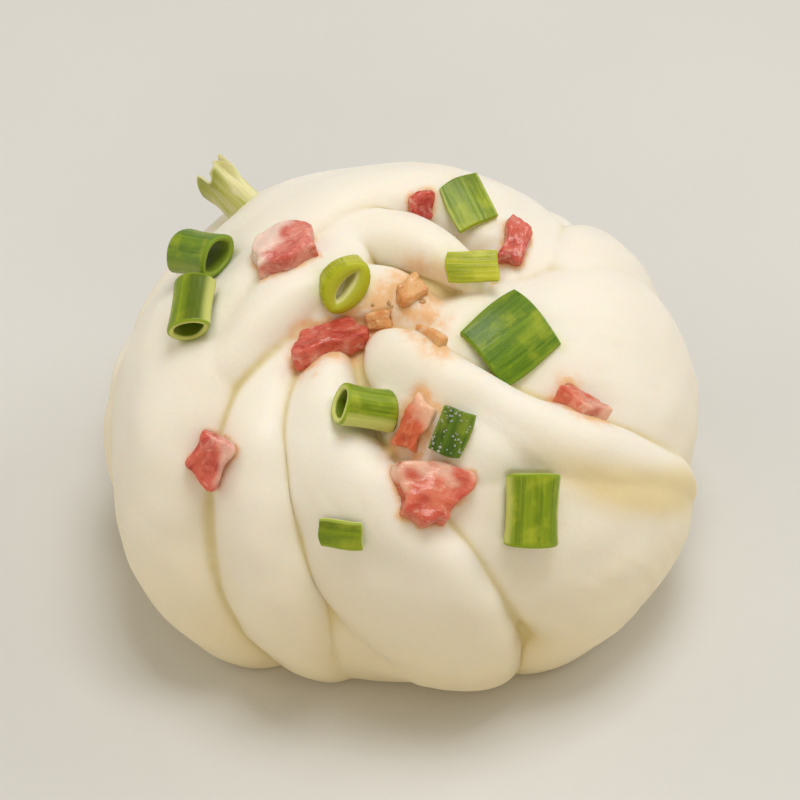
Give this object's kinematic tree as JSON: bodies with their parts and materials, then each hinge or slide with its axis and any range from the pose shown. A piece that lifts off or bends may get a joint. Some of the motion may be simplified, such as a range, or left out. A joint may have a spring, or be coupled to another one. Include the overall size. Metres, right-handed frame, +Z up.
{
  "type": "steamed bun",
  "caption": "Steamed flower roll: twisted dough folds spiral out of an eye near the top and tuck under a flat foot, with cut scallion and ham pressed into them",
  "frame": {"origin": "the middle of the flat foot, on the surface that the bun rests on", "axes": "+Z up, out of the crown; +X to the right and -Y towards the side whose folds and ridge run down from the eye"},
  "size_m": [0.0829, 0.0824, 0.0559],
  "materials": {
    "dough": "steamed white wheat dough, soft, slightly moist sheen",
    "scallion": "cut scallion leaf, wet green",
    "pale_scallion": "cut scallion near the stem, wet yellow-green",
    "ham": "diced cooked ham, moist red-pink",
    "pale_ham": "diced cooked ham, moist pale peach-pink"
  },
  "bodies": {
    "root": {"dough": "dough", "scallion_1": "scallion", "scallion_2": "scallion", "scallion_3": "pale_scallion", "scallion_4": "scallion", "scallion_5": "pale_scallion", "scallion_6": "scallion", "scallion_7": "scallion", "scallion_8": "scallion", "scallion_9": "scallion", "scallion_10": "scallion", "scallion_11": "pale_scallion", "scallion_12": "scallion", "scallion_13": "scallion", "scallion_14": "scallion", "ham_1": "pale_ham", "ham_2": "ham", "ham_3": "ham", "ham_4": "pale_ham", "ham_5": "ham", "ham_6": "pale_ham", "ham_7": "ham", "ham_8": "pale_ham", "ham_9": "ham", "ham_10": "ham", "ham_11": "ham", "ham_12": "pale_ham", "ham_13": "ham", "ham_14": "pale_ham"}
  },
  "joints": []
}
